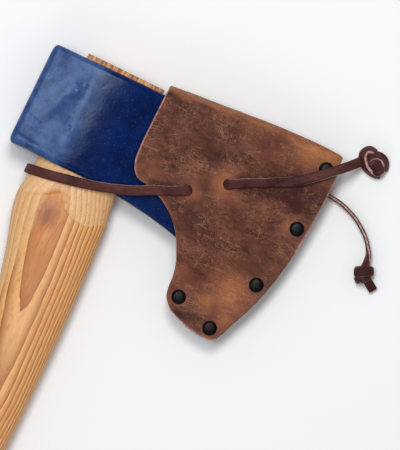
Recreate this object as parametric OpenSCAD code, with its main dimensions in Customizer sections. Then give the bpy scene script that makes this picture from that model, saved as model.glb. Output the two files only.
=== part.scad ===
// Felling axe with a leather bit sheath that is tied on with a flat lace.
// +X runs from the poll to the cutting edge, +Y from the knob to the top of the head and +Z is up.
// The axe lies on its side: z = 0 is the plane it rests on and the origin is under the eye.

/* [Head] */
// Length of the head from the face of the poll to the cutting edge
head_len = 188; // [186:0.5:189]
// Height of the poll, measured along the handle
poll_h = 70.5; // [69:0.5:72]
// Greatest thickness of the head, across the cheeks
cheek_t = 38; // [37.5:0.5:39]
// Radius of the curved cutting edge
edge_r = 174.5; // [172:0.5:176]
// Half of the angle that the cutting edge is ground to, in degrees
bevel_angle = 9.6; // [9.4:0.1:12]
// Length of the eye, measured along the head
eye_len = 55; // [53:0.5:56]
// Width of the eye, measured across the head
eye_wide = 24; // [22:0.5:25]

/* [Handle] */
// Length of the handle from the top of the tenon to the knob
handle_len = 813; // [760:1:900]
// How far the tenon stands out above the head
tenon_proud = 3; // [1:0.5:6]
// Depth that the wooden wedge is driven to
wedge_deep = 52; // [40:1:60]
// Thickness of the wooden wedge at its top
wedge_t = 5; // [3:0.5:6]
// Width of the steel cross wedge
steel_wedge_w = 18; // [12:1:20]
// Depth of the steel cross wedge
steel_wedge_deep = 22; // [15:1:28]

/* [Sheath] */
// Thickness of the leather
leather_t = 2.8; // [2.4:0.1:3]
// Thickness of the welt between the two panels
welt_t = 3; // [2.6:0.1:3.2]
// Diameter of the rivets' caps
cap_d = 9.7; // [8:0.1:10]
// Height of the rivets' domed caps
cap_h = 1.8; // [1.2:0.1:2.2]
// Diameter of the rivets' shanks
shank_d = 3.2; // [2.5:0.1:4]
// Diameter of the holes that the lace runs through
lace_hole_d = 7.2; // [7:0.1:8]

/* [Lace] */
// Width of the flat lace
lace_w = 6.4; // [5.6:0.1:6.6]
// Thickness of the flat lace
lace_t = 2.6; // [2:0.1:2.7]

/* [Hidden] */
$fn = 48;

// Frame: the middle plane of the head, handle and sheath
mid_z = cheek_t / 2;
poll_x = -49;
edge_x = poll_x + head_len;
edge_c = [edge_x - edge_r, 9.5];
head_half_h = poll_h / 2;
cheek_half = cheek_t / 2;

// Rows of the head: x, top edge, bottom edge, half thickness.
// The cheeks are flat and parallel from x = -18 to x = 2, and that strip is what the axe rests on.
HEAD_ROWS = [
    [poll_x, head_half_h - 3.8, 3.8 - head_half_h, cheek_half - 5.6],
    [poll_x + 0.9, head_half_h - 1.3, 1.3 - head_half_h, cheek_half - 3.6],
    [poll_x + 3.5, head_half_h, -head_half_h, cheek_half - 2.5],
    [-30, head_half_h, -head_half_h, cheek_half - 0.9],
    [-18, head_half_h, -head_half_h, cheek_half],
    [2, head_half_h + 0.3, -head_half_h, cheek_half],
    [12, head_half_h + 0.4, -head_half_h - 0.1, cheek_half - 1.4],
    [20, head_half_h + 0.5, -head_half_h - 0.4, cheek_half - 3.5],
    [30, head_half_h + 0.7, -head_half_h - 1.2, 13],
    [45, 36.4, -38.5, 10.6],
    [60, 37, -40.5, 8.8],
    [76, 38, -44, 7.1],
    [92, 39, -51.5, 5.4],
    [106, 40.2, -61.5, 4],
    [118, 41.4, -74, 2.8],
    [128, 42.4, -87, 1.9],
    [142, 43.6, -106, 1.2]
];
HEAD_CORNER_R = 5.5;
edge_land = 0.2;

// Tenon, eye and wedges
eye_cx = 0.5;
EYE_OVAL = 0.72;
GRIP_OVAL = 0.84;
tenon_top = head_half_h + 0.45 + tenon_proud;
wedge_tip_t = 1;
steel_wedge_t = 3;
steel_wedge_tip_t = 0.8;
steel_wedge_x = 4;

// Rows of the handle: y, back edge, front edge, half thickness.
// The belly bows towards the bit below the head, and the end is a fawn's foot knob.
HANDLE_ROWS = [
    [-head_half_h - 0.15, -27, 29.5, 12.6],
    [-48, -27.9, 31.2, 13.4],
    [-60, -29.5, 33.4, 15],
    [-72, -28.2, 33.9, 15.2],
    [-90, -22.6, 35, 14.9],
    [-115, -16, 36.3, 14.6],
    [-150, -9.5, 37.1, 14.2],
    [-200, -4.5, 37.5, 13.8],
    [-260, -2.5, 36.8, 13.5],
    [-340, -4.5, 33.5, 13.3],
    [-420, -9.5, 27.5, 13.2],
    [-500, -15, 21, 13.2],
    [-580, -19.5, 16, 13.3],
    [-650, -21.8, 14, 13.6],
    [-700, -21.8, 16, 14.6],
    [-735, -21.5, 23, 16.8],
    [-757, -20, 30.5, 17.5],
    [-768, -15.5, 31.5, 15],
    [-774, -7, 25, 8.5]
];
GRIP_START = -200;
KNOB_END = -774;
grip_stretch = (tenon_top - handle_len - GRIP_START) / (KNOB_END - GRIP_START);

// Sheath: the leather's outline below the fold, seen from the side
SHEATH_OUTLINE = [
    [153, 46], [153.3, 22], [152.3, 0], [149.2, -30], [142, -60], [134, -80], [130.5, -89],
    [125, -94.3], [112, -94.2], [99, -90.3], [90, -85], [86.4, -77], [85, -66], [80, -50.5],
    [70, -35.5], [57, -26], [45, -21.8], [36, -19.2], [31, -12], [30, -2]
];
SHEATH_LEFT = 30;
// The fold along the top: x and height of the fold's outer face
FOLD_LINE = [[30, 43], [80, 48], [120, 50.8], [138, 51.6], [146, 50.9], [151, 49.2], [154, 46.5]];
FOLD_CORNER_R = 6;
// Half thickness over the leather against distance from the poll's side towards the edge
closed_half = welt_t / 2 + leather_t;
SHEATH_HALF = [[30, 17.6], [68, 14.6], [92, 11.9], [130, 5.6], [142, closed_half], [200, closed_half]];
PINCH_FROM = -50;
PINCH_TO = -75;
LEG_ROWS = [-100, -75, -69, -62, -56, -50, -20, 10];
SHEATH_STATIONS = [30, 49, 68, 80, 92, 105, 118, 130, 138, 143, 149, 154];
// The welt stays below this line, so that the heel of the blade slides past it
WELT_FLOOR = -76;

// Rivets, from the toe of the blade round to the open side
RIVETS = [[145, 38.5], [144.8, -4.7], [137, -49], [122, -87.5], [95, -78]];

// Lace: holes, and hand-set routes as x, y and height above the middle plane
HOLE_A = [69.5, -13.5];
HOLE_B = [91.5, 1.5];
LOOP_TOP = [
    [70.5, -13.2, 15.7], [60, -18.5, 16.8], [50, -23, 17.5], [40, -28, 17.4], [30, -32, 17.1],
    [20, -35.6, 16.9], [10, -38.4, 16.5], [0, -40.6, 15]
];
LOOP_BACK_Y = -45;
LOOP_GAP = 0.35;
// Tails: x, y, z, then the direction across the lace's flat side
FRONT_TAIL = [
    [91.5, 1.5, 32.2, -0.5, 0.9, 0], [96, 4.2, 31.9, -0.5, 0.9, 0], [101, 7, 31.2, -0.5, 0.9, 0],
    [107, 10.1, 30.3, -0.5, 0.9, 0], [113, 13.2, 29.3, -0.5, 0.9, 0], [119, 16.4, 28.4, -0.5, 0.9, 0],
    [125, 19.6, 27.5, -0.6, 0.8, 0], [131, 23.2, 27.1, -0.6, 0.8, 0], [137, 28, 27.3, -0.6, 0.8, 0],
    [142, 32.3, 27.5, -0.6, 0.8, 0], [147, 36.9, 27.4, -0.7, 0.7, 0], [152, 41.5, 26.4, -0.7, 0.7, 0],
    [155.5, 45, 23.6, -0.7, 0.7, 0], [158.5, 48.1, 19.2, -0.7, 0.7, 0], [161, 51, 14.5, -0.7, 0.7, 0.1]
];
REAR_TAIL = [
    [91.5, 1.5, 5.6, -0.5, 0.9, 0], [97, 4.8, 5.5, -0.5, 0.9, 0], [104, 8.4, 5.3, -0.5, 0.9, 0.1],
    [112, 12, 5.1, -0.4, 0.8, 0.3], [121, 15.9, 4.7, -0.3, 0.7, 0.6], [130, 19.6, 4, -0.2, 0.5, 0.8],
    [141, 22.9, 3.4, 0, 0.1, 1], [153, 24.2, 3.3, 0, 0, 1], [162, 23.3, 3.3, 0, 0, 1],
    [170, 21.1, 3.3, 0, 0, 1], [177, 18, 3.3, 0, 0, 1], [183, 14, 3.3, 0, 0, 1],
    [188.4, 9.4, 3.3, 0, 0, 1], [192, 4.8, 3.3, 0, 0, 1], [194.5, 0.4, 3.3, 0, 0, 1],
    [195.5, -4, 3.3, 0, 0, 1]
];
// Knots: middle, half length, radius, direction of the wraps' axis, then the cut end's middle and turn
FRONT_KNOT = [[168.5, 57, 7.3], 8.6, 7.2, -32, [178.6, 51.8, 5], -32];
REAR_KNOT = [[196.3, -11.3, 6.4], 7.4, 6.3, -65, [204.5, -16.6, 4], -32];
CUT_END_LEN = 9;

// ---- functions ----

function unit(v) = v / norm(v);

function reversed(list) = [for (i = [len(list) - 1:-1:0]) list[i]];

function smooth(t) = let (c = min(1, max(0, t))) c * c * (3 - 2 * c);

function mix(a, b, t) = a + (b - a) * t;

// A point of the smooth curve between p1 and p2
function spline_point(p0, p1, p2, p3, t) =
    0.5 * (2 * p1 + (p2 - p0) * t + (2 * p0 - 5 * p1 + 4 * p2 - p3) * t * t
    + (3 * p1 - p0 - 3 * p2 + p3) * t * t * t);

// A smooth curve through all the points, with n steps between each two
function curve(p, n) = concat(
    [for (i = [0:len(p) - 2]) for (k = [0:n - 1])
        spline_point(p[max(i - 1, 0)], p[i], p[i + 1], p[min(i + 2, len(p) - 1)], k / n)],
    [p[len(p) - 1]]
);

// Signed power, for ovals that are squarer than an ellipse
function signed_pow(v, e) = sign(v) * pow(abs(v), e);

// An oval in its own plane, with half sizes a and b
function oval(a, b, e, n) = [
    for (i = [0:n - 1]) let (t = 360 * i / n) [a * signed_pow(cos(t), e), b * signed_pow(sin(t), e)]
];

// Points round one corner of a section, centred on c
function corner(c, r, from, n) = [
    for (i = [0:n]) let (t = from + 90 * i / n) [c[0] + r * cos(t), c[1] + r * sin(t)]
];

// The head's section at one row, in the plane across the head
function head_ring(row) =
    let (half = row[3], r = min(HEAD_CORNER_R, half * 0.7))
    [for (p = concat(
        corner([row[1] - r, half - r], r, 0, 4),
        corner([row[2] + r, half - r], r, 90, 4),
        corner([row[2] + r, r - half], r, 180, 4),
        corner([row[1] - r, r - half], r, 270, 4)))
        [row[0], p[0], mid_z + p[1]]];

// The handle's section at one row
function handle_ring(row) =
    let (a = (row[2] - row[1]) / 2, c = (row[2] + row[1]) / 2)
    [for (p = oval(a, row[3], mix(EYE_OVAL, GRIP_OVAL, smooth((-45 - row[0]) / 40)), 28))
        [c + p[0], grip_y(row[0]), mid_z + p[1]]];

function grip_y(y) = y > GRIP_START ? y : GRIP_START + (y - GRIP_START) * grip_stretch;

// Where the cutting edge is at height y
function edge_at(y) = edge_c[0] + sqrt(max(1, edge_r * edge_r - (y - edge_c[1]) * (y - edge_c[1])));

// Half thickness over the sheath: it follows the blade, and closes onto the welt below the heel
function sheath_half(x, y) =
    mix(lookup(x + edge_x - edge_at(y), SHEATH_HALF), closed_half,
        smooth((PINCH_FROM - y) / (PINCH_FROM - PINCH_TO)));

// One leg of the folded leather with the fold's corner, set in from its outer face
function leg(x, inset) =
    let (top = lookup(x, FOLD_LINE), half = sheath_half(x, top), r = min(FOLD_CORNER_R, half - 0.3))
    concat(
        [for (y = LEG_ROWS) [y, sheath_half(x, y) - inset]],
        reversed(corner([top - r, half - r], r - inset, 0, 3)));

function sheath_ring(x) =
    let (outer = leg(x, 0), inner = leg(x, leather_t))
    [for (p = concat(
        inner,
        reversed([for (q = inner) [q[0], -q[1]]]),
        [for (q = outer) [q[0], -q[1]]],
        reversed(outer)))
        [x, p[0], mid_z + p[1]]];

// The lace's section: a flat strap with eased edges, as steps across and through it
LACE_SECTION = [
    [-0.5, -0.22], [-0.42, -0.5], [0.42, -0.5], [0.5, -0.22],
    [0.5, 0.22], [0.42, 0.5], [-0.42, 0.5], [-0.5, 0.22]
];

// One ring of the lace at p, running along t, with its flat side along w
function lace_ring(p, t, w) =
    let (across = unit(w - (w * t) * t), through = cross(t, across))
    [for (s = LACE_SECTION) p + across * s[0] * lace_w + through * s[1] * lace_t];

// All the rings of a lace that follows points [x, y, z, across x, y, z]
function lace_rings(p) = [
    for (i = [0:len(p) - 1])
    let (a = p[max(i - 1, 0)], b = p[min(i + 1, len(p) - 1)],
        t = unit([b[0] - a[0], b[1] - a[1], b[2] - a[2]]))
    lace_ring([p[i][0], p[i][1], p[i][2]], t, [p[i][3], p[i][4], p[i][5]])
];

// The loop's route: over the cheek, round the back of the handle and the same way back below
function loop_route() =
    let (
        row = HANDLE_ROWS[1],
        grow = lace_t / 2 + LOOP_GAP,
        a = (row[2] - row[1]) / 2 + grow,
        c = (row[2] + row[1]) / 2,
        b = row[3] + grow,
        last = LOOP_TOP[len(LOOP_TOP) - 1],
        back = [for (t = [115:13:180])
            [c + a * signed_pow(cos(t), EYE_OVAL),
            mix(last[1], LOOP_BACK_Y, smooth((t - 90) / 45)),
            b * signed_pow(sin(t), EYE_OVAL), 0, 1, 0]],
        top = [for (p = curve(LOOP_TOP, 2)) [p[0], p[1], p[2], 0, 1, 0]],
        half = concat(top, back),
        below = [for (p = half) [p[0], p[1], -p[2], 0, 1, 0]]
    )
    [for (p = concat(half, reversed(below))) [p[0], p[1], mid_z + p[2], 0, 1, 0]];

// ---- shared shapes ----

// A solid through a list of rings that all have the same number of points,
// each ring running anticlockwise as seen from the next one. A folded ring runs out along one
// wall and back along the other, so its ends are closed by a strip from wall to wall.
module loft(rings, folded = false) {
    n = len(rings[0]);
    last = (len(rings) - 1) * n;
    sides = [
        for (i = [0:n:last - n]) for (k = [0:n - 1])
        let (next = (k + 1) % n)
        each [[i + k, i + n + next, i + next], [i + k, i + n + k, i + n + next]]
    ];
    strip = [
        for (k = [0:n / 2 - 2])
        let (c = n - 2 - k, d = n - 1 - k)
        each [[k, k + 1, c], [k, c, d]]
    ];
    start = folded ? strip : [[for (k = [0:n - 1]) k]];
    finish = [for (face = start) [for (k = reversed(face)) last + k]];
    polyhedron(points = [for (r = rings) each r], faces = concat(sides, start, finish));
}

// A plan in x and z, pulled along y from y0 to y1
module along_y(y0, y1) {
    translate([0, y1, mid_z]) rotate([90, 0, 0]) linear_extrude(y1 - y0) children();
}

module eye_plan() {
    translate([eye_cx, 0]) polygon(oval(eye_len / 2, eye_wide / 2, EYE_OVAL, 48));
}

// The slot that the wooden wedge fills, as a plan in y and z pulled along x
module wedge_body() {
    low = tenon_top - wedge_deep;
    translate([eye_cx - eye_len / 2, 0, mid_z]) rotate([90, 0, 90]) linear_extrude(eye_len) polygon([
        [low, -wedge_tip_t / 2], [tenon_top, -wedge_t / 2], [tenon_top, wedge_t / 2], [low, wedge_tip_t / 2]
    ]);
}

// The steel wedge crosses the wooden one
module steel_wedge_body() {
    low = tenon_top - steel_wedge_deep;
    translate([0, 0, mid_z - steel_wedge_w / 2]) linear_extrude(steel_wedge_w) polygon([
        [steel_wedge_x - steel_wedge_tip_t / 2, low], [steel_wedge_x + steel_wedge_tip_t / 2, low],
        [steel_wedge_x + steel_wedge_t / 2, tenon_top], [steel_wedge_x - steel_wedge_t / 2, tenon_top]
    ]);
}

module sheath_side() {
    polygon(concat(curve(SHEATH_OUTLINE, 3), [[SHEATH_LEFT, 60], [160, 60], [160, 46]]));
}

// A strap in the plane through both lace holes: down one hole, under the leather and up the other
module lace_bridge() {
    span = norm(HOLE_B - HOLE_A);
    turn = atan2(HOLE_B[1] - HOLE_A[1], HOLE_B[0] - HOLE_A[0]);
    half = lace_t / 2;
    top_a = sheath_half(HOLE_A[0], HOLE_A[1]);
    top_b = sheath_half(HOLE_B[0], HOLE_B[1]);
    under = leather_t + 0.35;
    translate([HOLE_A[0], HOLE_A[1], 0]) rotate([0, 0, turn]) rotate([90, 0, 0])
        translate([0, 0, -lace_w / 2]) linear_extrude(lace_w) polygon([
            [-half, top_a], [half, top_a], [half, top_a - under], [span - half, top_b - under],
            [span - half, top_b], [span + half, top_b], [span + half, top_b - under - lace_t],
            [-half, top_a - under - lace_t]
        ]);
}

// A knot: a barrel of wraps, and the lace's cut end beside it
module knot(k) {
    r = k[2];
    soft = r * 0.45;
    translate(k[0]) rotate([0, 0, k[3]]) rotate([0, 90, 0]) rotate_extrude() polygon(concat(
        [[0, -k[1]]], corner([r - soft, soft - k[1]], soft, -90, 5),
        corner([r - soft, k[1] - soft], soft, 0, 5), [[0, k[1]]]));
    translate(k[4]) rotate([0, 0, k[5]]) cube([CUT_END_LEN, lace_w, lace_t], center = true);
}

module rivet_dome(r) {
    rotate_extrude() polygon([
        [0, 0], [r, 0], [r, cap_h * 0.4], [r * 0.93, cap_h * 0.72], [r * 0.75, cap_h * 0.93], [0, cap_h]
    ]);
}

// ---- pieces ----

module axe_head() {
    cone_h = edge_r * tan(bevel_angle) + edge_land / 2;
    color([0.08, 0.17, 0.36]) difference() {
        intersection() {
            loft([for (row = HEAD_ROWS) head_ring(row)]);
            translate([edge_c[0], edge_c[1], mid_z]) rotate_extrude($fn = 180)
                polygon([[0, -cone_h], [edge_r, -edge_land / 2], [edge_r, edge_land / 2], [0, cone_h]]);
        }
        along_y(-60, 60) eye_plan();
    }
}

module handle() {
    color([0.82, 0.6, 0.38]) difference() {
        union() {
            loft([for (row = curve(HANDLE_ROWS, 3)) handle_ring(row)]);
            along_y(-head_half_h - 2, tenon_top) eye_plan();
        }
        wedge_body();
        steel_wedge_body();
    }
}

module wood_wedge() {
    color([0.7, 0.5, 0.32]) difference() {
        intersection() {
            wedge_body();
            along_y(-60, 60) eye_plan();
        }
        steel_wedge_body();
    }
}

module steel_wedge() {
    color([0.6, 0.6, 0.62]) steel_wedge_body();
}

module sheath_leather() {
    color([0.42, 0.26, 0.2]) difference() {
        intersection() {
            loft([for (x = SHEATH_STATIONS) sheath_ring(x)], folded = true);
            linear_extrude(2 * mid_z) sheath_side();
        }
        for (p = RIVETS) translate([p[0], p[1], -1]) cylinder(h = 2 * mid_z + 2, d = shank_d);
        for (p = [HOLE_A, HOLE_B]) translate([p[0], p[1], -1]) cylinder(h = 2 * mid_z + 2, d = lace_hole_d);
    }
}

module sheath_welt() {
    fold_gap = leather_t + 0.6;
    color([0.5, 0.32, 0.24]) translate([0, 0, mid_z - welt_t / 2]) linear_extrude(welt_t) difference() {
        intersection() {
            polygon(curve(SHEATH_OUTLINE, 3));
            polygon([
                [87, WELT_FLOOR], [112, WELT_FLOOR], [112, 0], [136, 60], [160, 60], [160, -100], [87, -100],
            ]);
            polygon(concat(
                [[20, -100]],
                [for (p = FOLD_LINE) [p[0], p[1] - fold_gap]],
                [[160, 40], [160, -100]]
            ));
        }
        translate(edge_c) circle(r = edge_r + 1.5, $fn = 180);
        translate([80, WELT_FLOOR]) square([37, 10]);
        for (p = RIVETS) translate(p) circle(d = shank_d);
    }
}

module rivet_caps() {
    color([0.09, 0.09, 0.1]) for (p = RIVETS) translate([p[0], p[1], mid_z + sheath_half(p[0], p[1])])
        rivet_dome(cap_d / 2);
}

module rivet_posts() {
    color([0.12, 0.12, 0.13]) for (p = RIVETS) {
        half = sheath_half(p[0], p[1]);
        translate([p[0], p[1], mid_z - half]) {
            mirror([0, 0, 1]) rivet_dome(cap_d / 2);
            cylinder(h = 2 * half, d = shank_d);
        }
    }
}

module lace_loop() {
    color([0.3, 0.19, 0.17]) loft(lace_rings(loop_route()));
}

module lace_bridge_front() {
    color([0.3, 0.19, 0.17]) translate([0, 0, mid_z]) lace_bridge();
}

module lace_bridge_rear() {
    color([0.3, 0.19, 0.17]) translate([0, 0, mid_z]) mirror([0, 0, 1]) lace_bridge();
}

module lace_tail_front() {
    color([0.33, 0.19, 0.16]) loft(lace_rings(FRONT_TAIL));
}

module lace_tail_rear() {
    color([0.33, 0.19, 0.16]) loft(lace_rings(REAR_TAIL));
}

module lace_knot_front() {
    color([0.33, 0.19, 0.16]) knot(FRONT_KNOT);
}

module lace_knot_rear() {
    color([0.33, 0.19, 0.16]) knot(REAR_KNOT);
}

axe_head();
handle();
wood_wedge();
steel_wedge();
sheath_leather();
sheath_welt();
rivet_caps();
rivet_posts();
lace_loop();
lace_bridge_front();
lace_bridge_rear();
lace_tail_front();
lace_tail_rear();
lace_knot_front();
lace_knot_rear();
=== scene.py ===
"""A felling axe with a laced leather bit sheath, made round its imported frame."""
import math

import bmesh
import bpy
import numpy as np
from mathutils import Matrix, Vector, noise


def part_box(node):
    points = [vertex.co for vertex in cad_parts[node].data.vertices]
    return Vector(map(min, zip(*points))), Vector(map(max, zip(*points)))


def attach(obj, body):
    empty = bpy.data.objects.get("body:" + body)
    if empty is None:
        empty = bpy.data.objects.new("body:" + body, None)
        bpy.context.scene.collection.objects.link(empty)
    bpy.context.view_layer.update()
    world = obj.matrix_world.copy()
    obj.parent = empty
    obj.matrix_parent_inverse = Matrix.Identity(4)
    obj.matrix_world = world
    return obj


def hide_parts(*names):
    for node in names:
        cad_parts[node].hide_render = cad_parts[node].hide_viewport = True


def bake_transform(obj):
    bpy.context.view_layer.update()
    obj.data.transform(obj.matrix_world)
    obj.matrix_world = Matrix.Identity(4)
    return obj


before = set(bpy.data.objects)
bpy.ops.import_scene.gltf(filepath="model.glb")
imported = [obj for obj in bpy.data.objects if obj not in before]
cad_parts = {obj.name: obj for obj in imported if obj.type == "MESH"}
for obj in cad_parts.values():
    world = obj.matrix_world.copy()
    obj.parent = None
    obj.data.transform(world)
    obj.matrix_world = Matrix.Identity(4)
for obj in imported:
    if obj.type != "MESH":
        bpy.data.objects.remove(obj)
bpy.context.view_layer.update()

bl_info = {
    "name": "Felling axe",
    "version": (1, 0, 0),
    "blender": (4, 5, 0),
    "location": "View3D > Sidebar > Axe",
    "description": "Makes a felling axe with a painted head, an ash handle and a laced leather sheath",
    "category": "Add Mesh",
}

MM = 0.001


# ---- measures taken from the frame, in millimetres ----


def node_box(node):
    """Lowest and highest corner of a node of the frame."""
    return [np.array(corner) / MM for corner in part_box(node)]


def solid_of(node):
    """A node of the frame as an editable mesh, with its split corners merged."""
    mesh = bmesh.new()
    mesh.from_mesh(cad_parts[node].data)
    bmesh.ops.remove_doubles(mesh, verts=mesh.verts, dist=1e-6)
    return mesh


def island_centres(node):
    """Middle of each separate solid in a node of the frame, from the highest y down."""
    mesh = solid_of(node)
    left, centres = set(mesh.verts), []
    while left:
        island, edge = set(), {left.pop()}
        while edge:
            island |= edge
            edge = {e.other_vert(v) for v in edge for e in v.link_edges} - island
        left -= island
        points = np.array([v.co for v in island]) / MM
        centres.append((points.min(0) + points.max(0)) / 2)
    mesh.free()
    return sorted(centres, key=lambda c: -c[1])


HEAD_LOW, HEAD_HIGH = node_box("axe_head")
MID_Z = (HEAD_LOW[2] + HEAD_HIGH[2]) / 2
CHEEK_HALF = HEAD_HIGH[2] - MID_Z
POLL_X = HEAD_LOW[0]
EDGE_X = HEAD_HIGH[0]
EDGE_R = 174.5
EDGE_C = (EDGE_X - EDGE_R, 9.5)
TENON_TOP = node_box("handle")[1][1]
RIVETS = island_centres("rivet_caps")
CAP_LOW, CAP_HIGH = node_box("rivet_caps")
CAP_H = CAP_HIGH[2] - CAP_LOW[2]
CAP_D = 9.7
LEATHER_T = 2.8
LACE_W = 6.4
LACE_T = 2.6
LACE_BEVEL = 0.3
KNOT_STEP = 0.7
HOLE_A = np.array([69.5, -13.5])
HOLE_B = np.array([91.5, 1.5])
HOLE_R = 3.4

# The head's rows: x, top edge, bottom edge, half thickness at the middle of the cheek
HEAD_ROWS = [
    (POLL_X, 35.2, -35.2, 16.2), (-44, 35.2, -35.3, 16.6), (-30, 35.4, -35.4, 17.9),
    (-14, 35.5, -35.4, 18.9), (-2, 35.6, -35.4, 18.8), (10, 35.7, -35.5, 17.6), (30, 36, -36.5, 13.1),
    (45, 36.4, -38.3, 10.6), (60, 37, -40.5, 8.8), (76, 38, -44, 7.1), (92, 39, -50.2, 5.4),
    (106, 40.2, -57.3, 4), (120, 41.5, -65, 2.7), (130, 42.4, -70, 1.9), (EDGE_X, 43.1, -74, 1.3),
]
BEND_FROM = 76
BEVEL = math.tan(math.radians(9.6))

# The handle's rows: y, back edge, front edge, half thickness
HANDLE_ROWS = [
    (-774.3, -4, 21, 5), (-772.6, -10, 26.5, 9.5), (-768, -15.5, 31, 14.4), (-757, -19.7, 30.6, 17.1),
    (-735, -21.5, 23, 16.8), (-700, -21.8, 16, 14.6), (-650, -21.8, 14, 13.6), (-580, -19.5, 16, 13.3),
    (-500, -15, 21, 13.2), (-420, -9.5, 27.5, 13.2), (-340, -4.5, 33.5, 13.3),
    (-260, -2.5, 36.8, 13.5), (-200, -4.5, 37.5, 13.8), (-150, -9.5, 37.1, 14.2),
    (-115, -16, 36.3, 14.6), (-90, -22.6, 35, 14.9), (-72, -28.2, 33.9, 15.2), (-60, -29.5, 33.4, 15),
    (-48, -27.9, 31.2, 13.4), (-40, -27.4, 30, 12.8), (-35, -27.2, 29.5, 12.6),
]
EYE_CX = 0.5
EYE_HALF = (27.5, 12)
EYE_POWER = 0.72
TENON_GAP = 0.15
TENON_FROM = -35

# The sheath: the fold's outer line, and the outline of each panel below it
FOLD_LINE = [
    (30, 43), (55, 45.5), (80, 48), (120, 50.8), (138, 51.5), (146, 51.2), (149.6, 50.8),
    (151.2, 50.1), (152, 48.8),
]
LEFT_EDGE = [
    (30, 43), (29.8, 20), (30, -2), (31.2, -12), (36, -19.4), (45, -21.9), (57, -26), (65, -31),
    (70, -35.5), (76, -43), (80, -50.5), (83.7, -59), (85.6, -67), (86.3, -76), (87.6, -81),
    (90.5, -85),
]
BOTTOM_EDGE = [
    (90.5, -85), (94, -88), (101, -91), (110, -93.6), (119, -94.6), (125, -94.4), (129, -92),
]
RIGHT_EDGE = [
    (152, 48.8), (152.7, 45.6), (153.2, 38), (153.4, 22), (152.4, 0), (149.2, -30), (142, -60),
    (134, -80), (130.8, -88), (129, -92),
]
CLOSED_HALF = 4.3
# Half thickness of the sheath at each x, level with the foremost point of the edge
SHEATH_HALF = [
    (20, 18.4), (30, 17.6), (68, 14.6), (92, 11.9), (130, 5.6), (142, CLOSED_HALF), (200, CLOSED_HALF),
]

# Lace routes: x, y, z in the frame, then the direction across the strap's flat side
LOOP_TOP = [
    (71.6, -12.6, 27.5, -0.40, 0.9, 0.1), (71.4, -12.8, 30.5, -0.40, 0.9, 0.1),
    (70.8, -13.1, 33.0, -0.40, 0.9, 0.1), (69.2, -13.9, 34.6, -0.40, 0.9, 0.2),
    (66.5, -15.2, 35.1, -0.40, 0.9, 0.2), (60, -18.5, 35.6, -0.4, 0.9, 0.3),
    (50, -23, 36.3, -0.35, 0.9, 0.3), (40, -28, 36.3, -0.3, 0.9, 0.35),
    (30, -32, 36.0, -0.3, 0.9, 0.35), (20, -35.5, 35.7, -0.25, 0.95, 0.35),
    (10, -38.2, 34.8, -0.2, 0.95, 0.25), (0, -40.4, 33.7, -0.2, 0.95, 0.05),
    (-10, -42.5, 33.0, -0.2, 0.95, 0), (-20, -44.3, 30.6, -0.2, 0.95, 0),
]
LOOP_BACK = [
    (-26, -45.2, 27.6, -0.15, 1, 0), (-29.3, -45.6, 24, -0.05, 1, 0), (-30.2, -45.7, MID_Z, 0, 1, 0),
]
FRONT_TAIL = [
    (91.5, 1.5, 32.2, -0.5, 0.9, 0.3), (96, 4.2, 31.9, -0.5, 0.9, 0.4), (101, 7, 31.2, -0.5, 0.9, 0.4),
    (107, 10.1, 30.3, -0.5, 0.9, 0.4), (113, 13.2, 29.3, -0.5, 0.9, 0.4),
    (119, 16.4, 28.4, -0.5, 0.9, 0.25), (125, 19.6, 27.5, -0.6, 0.8, 0.2),
    (131, 23.2, 27.1, -0.6, 0.8, 0), (137, 28, 27.3, -0.6, 0.8, -0.2),
    (142, 32.3, 27.5, -0.6, 0.8, -0.25), (147, 36.9, 27.4, -0.7, 0.7, -0.3),
    (152, 41.5, 26.4, -0.7, 0.7, -0.3), (155.5, 45, 23.6, -0.7, 0.7, -0.2),
    (158.5, 48.1, 19.2, -0.7, 0.7, -0.1), (161, 51, 14.5, -0.7, 0.7, 0),
]
REAR_TAIL = [
    (91.5, 1.5, 5.6, -0.5, 0.9, 0), (97, 4.8, 5.5, -0.5, 0.9, 0), (104, 8.4, 5.3, -0.5, 0.9, 0.1),
    (112, 12, 5.1, -0.4, 0.8, 0.3), (121, 15.9, 4.7, -0.3, 0.7, 0.6), (130, 19.6, 4, -0.2, 0.5, 0.8),
    (141, 22.9, 3.4, 0, 0.1, 1), (153, 24.2, 3.3, 0, 0, 1), (162, 23.3, 3.3, 0, 0, 1),
    (170, 21.1, 3.3, 0, 0, 1), (177, 18, 3.3, 0, 0, 1), (183, 14, 3.3, 0, 0, 1),
    (188.4, 9.4, 3.3, 0, 0, 1), (192, 4.8, 3.3, 0.05, 0, 1), (194.5, 0.4, 3.4, 0.25, 0.1, 1),
    (195.5, -4, 3.8, 0.6, 0.2, 0.8),
]
FRONT_START = [
    (91.9, 1.7, 29.3, -0.5, 0.9, 0.1), (91.9, 1.7, 30.7, -0.5, 0.9, 0.2),
    (92.6, 2.2, 31.9, -0.5, 0.9, 0.3),
]
FRONT_END = [(162.2, 52.4, 11.6, -0.7, 0.7, 0)]
REAR_END = [(196.2, -8.5, 5.2, 0.9, 0.4, 0.2)]

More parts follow.
